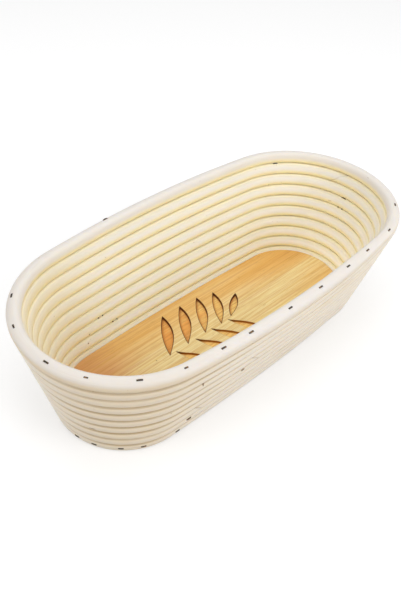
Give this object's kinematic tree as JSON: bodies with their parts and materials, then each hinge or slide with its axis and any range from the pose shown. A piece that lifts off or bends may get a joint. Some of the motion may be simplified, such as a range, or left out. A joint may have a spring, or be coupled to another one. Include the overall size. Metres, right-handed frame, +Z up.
{
  "type": "proofing basket",
  "caption": "Oval bread proofing basket: a flared wall wound from round rattan cane, stapled round a flat wooden bottom with leaf cut-outs.",
  "frame": {"origin": "middle of the basket on the plane that it stands on", "axes": "+X along the basket, +Y across it to the far long side, +Z up"},
  "size_m": [0.3006, 0.1456, 0.0841],
  "materials": {
    "cane": "raw peeled rattan, fine lengthwise fibres, dry and matt",
    "rim_cane": "raw peeled rattan, sanded pale on top",
    "pattern_board": "plain-sawn plywood, lengthwise grain, cut edges burnt brown",
    "bottom_board": "plywood, lengthwise grain",
    "staple_wire": "dark steel staple wire"
  },
  "bodies": {
    "root": {"bottom_plate": "bottom_board", "pattern_plate": "pattern_board", "base_staples": "staple_wire", "lower_cane": "cane", "middle_cane": "cane", "upper_cane": "cane", "rim_cane": "rim_cane", "row_2_staples": "staple_wire", "row_3_staples": "staple_wire", "row_4_staples": "staple_wire", "row_5_staples": "staple_wire", "row_6_staples": "staple_wire", "row_7_staples": "staple_wire", "row_8_staples": "staple_wire", "row_9_staples": "staple_wire", "rim_staples": "staple_wire"}
  },
  "joints": []
}
